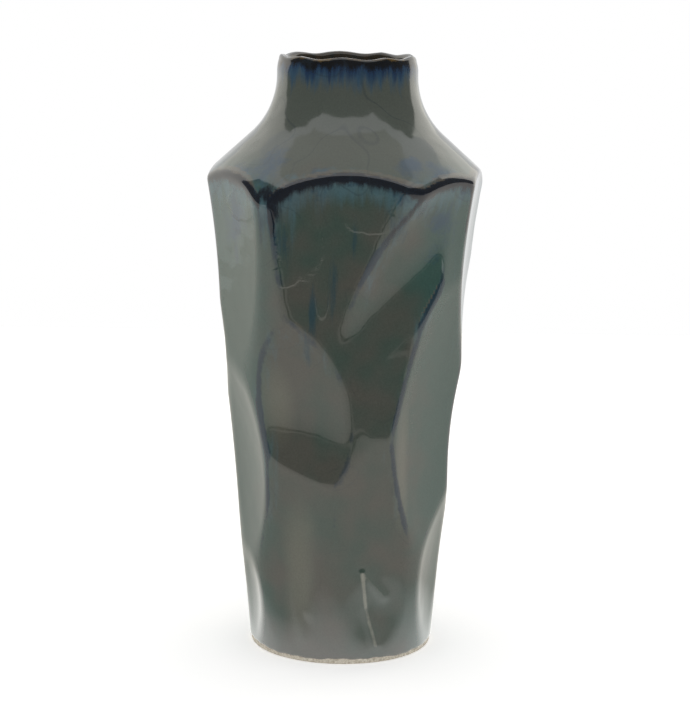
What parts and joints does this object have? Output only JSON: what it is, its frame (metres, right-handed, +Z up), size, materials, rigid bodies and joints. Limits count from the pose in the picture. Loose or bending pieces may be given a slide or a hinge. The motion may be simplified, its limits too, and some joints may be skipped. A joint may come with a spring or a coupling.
{
  "type": "pressed stoneware vase",
  "caption": "Tall shouldered stoneware vase with a narrow flaring neck and a wavy rim, its wall pressed into irregular dents, glazed inside and out; holds cut flowers in water.",
  "frame": {"origin": "middle of the foot ring, on the surface that the vase stands on", "axes": "+Z up along the axis of the neck and foot, -Y towards the front with the broad arched dent, +X to the right seen from the front"},
  "size_m": [0.1388, 0.131, 0.3],
  "materials": {
    "bare_stoneware": "unglazed fired buff stoneware",
    "reactive_glaze": "glossy grey-green reactive glaze, dark blue and brown where it breaks over edges",
    "liner_glaze": "glossy grey-green glaze on the inside"
  },
  "bodies": {
    "root": {"stoneware_body": "bare_stoneware", "outer_glaze": "reactive_glaze", "liner_glaze": "liner_glaze", "foot_glaze": "reactive_glaze"}
  },
  "joints": []
}
